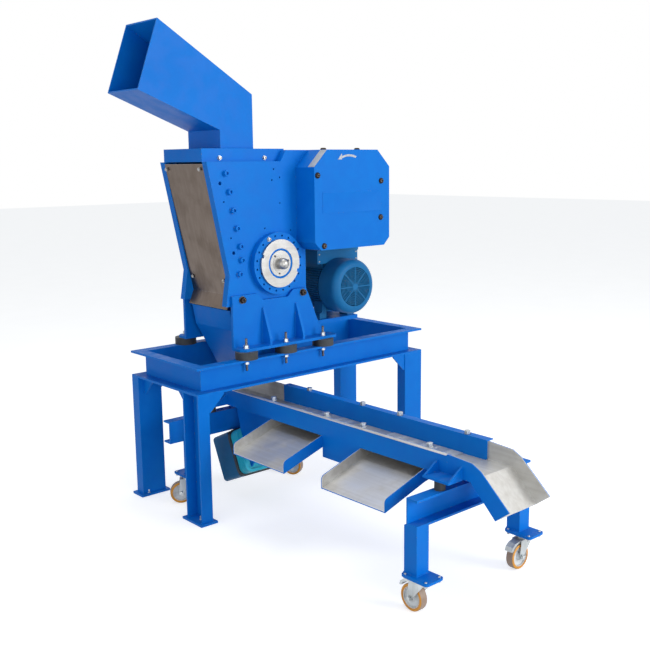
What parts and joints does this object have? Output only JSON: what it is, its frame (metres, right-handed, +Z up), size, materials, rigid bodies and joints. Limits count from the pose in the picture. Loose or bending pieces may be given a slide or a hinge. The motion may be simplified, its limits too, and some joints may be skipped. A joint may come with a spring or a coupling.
{
  "type": "fine crusher with vibrating trough",
  "caption": "Small jaw type crusher on a channel steel stand, fed by a bent chute, over a vibrating trough with side chutes on a castor trolley.",
  "frame": {"origin": "on the floor under the outer corner of the front left leg of the stand", "axes": "+X along the stand to the motor end, +Y from the hub side to the belt side, +Z up"},
  "size_m": [1.516, 1.995, 2.115],
  "materials": {
    "blue_paint": "semi-gloss",
    "bright_steel": "brushed",
    "black_rubber": "matt",
    "motor_paint": "semi-gloss",
    "drive_paint": "gloss",
    "stainless_sheet": "worn",
    "zinc_plate": "zinc plated",
    "castor_tread": "satin"
  },
  "bodies": {
    "machine": {"ring_front": "blue_paint", "ring_back": "blue_paint", "ring_left": "blue_paint", "ring_right": "blue_paint", "leg_front_left": "blue_paint", "leg_back_left": "blue_paint", "leg_front_right": "blue_paint", "leg_back_right": "blue_paint", "side_plate_near": "blue_paint", "side_plate_far": "blue_paint", "front_cover": "bright_steel", "jaws": "bright_steel", "rear_cover": "blue_paint", "top_box": "blue_paint", "feed_chute": "blue_paint", "hopper": "blue_paint", "bracket_near": "blue_paint", "bracket_far": "blue_paint", "stand_buffers": "black_rubber", "hub_flanges": "blue_paint", "clamp_rings": "bright_steel", "flywheel_guard": "blue_paint", "belt_guard": "blue_paint", "motor_body": "motor_paint", "fan_cowl": "motor_paint", "motor_base": "blue_paint", "trough_body": "blue_paint", "trough_liner": "stainless_sheet", "trough_guides": "blue_paint", "spout": "blue_paint", "side_chute_rear": "blue_paint", "side_chute_front": "blue_paint", "drive_unit": "drive_paint", "trough_buffers": "black_rubber", "trolley_front": "blue_paint", "trolley_rear": "blue_paint"},
    "hub_shaft": {"hub_shaft": "bright_steel"},
    "fork_front_left": {"fork_front_left": "zinc_plate"},
    "wheel_front_left": {"wheel_front_left": "castor_tread"},
    "fork_front_right": {"fork_front_right": "zinc_plate"},
    "wheel_front_right": {"wheel_front_right": "castor_tread"},
    "fork_rear_right": {"fork_rear_right": "zinc_plate"},
    "wheel_rear_right": {"wheel_rear_right": "castor_tread"},
    "fork_rear_left": {"fork_rear_left": "zinc_plate"},
    "wheel_rear_left": {"wheel_rear_left": "castor_tread"}
  },
  "joints": [
    {"name": "hub_shaft_spin", "type": "hinge", "parent": "machine", "child": "hub_shaft", "pos_m": [0.495, 0.275, 1.092], "axis": [0, 1, 0], "continuous": true},
    {"name": "swivel_front_left", "type": "hinge", "parent": "machine", "child": "fork_front_left", "pos_m": [0.123, -1.1685, 0.12], "axis": [0, 0, 1], "continuous": true},
    {"name": "roll_front_left", "type": "hinge", "parent": "fork_front_left", "child": "wheel_front_left", "pos_m": [0.123, -1.1305, 0.05], "axis": [-1, 0, 0], "continuous": true},
    {"name": "swivel_front_right", "type": "hinge", "parent": "machine", "child": "fork_front_right", "pos_m": [0.693, -1.1685, 0.12], "axis": [0, 0, 1], "continuous": true},
    {"name": "roll_front_right", "type": "hinge", "parent": "fork_front_right", "child": "wheel_front_right", "pos_m": [0.655, -1.1685, 0.05], "axis": [0, -1, 0], "continuous": true},
    {"name": "swivel_rear_right", "type": "hinge", "parent": "machine", "child": "fork_rear_right", "pos_m": [0.693, 0.2885, 0.12], "axis": [0, 0, 1], "continuous": true},
    {"name": "roll_rear_right", "type": "hinge", "parent": "fork_rear_right", "child": "wheel_rear_right", "pos_m": [0.70906, 0.25406, 0.05], "axis": [0.9063, 0.4226, 0], "continuous": true},
    {"name": "swivel_rear_left", "type": "hinge", "parent": "machine", "child": "fork_rear_left", "pos_m": [0.123, 0.2885, 0.12], "axis": [0, 0, 1], "continuous": true},
    {"name": "roll_rear_left", "type": "hinge", "parent": "fork_rear_left", "child": "wheel_rear_left", "pos_m": [0.09009, 0.3075, 0.05], "axis": [-0.5, -0.866, 0], "continuous": true}
  ]
}
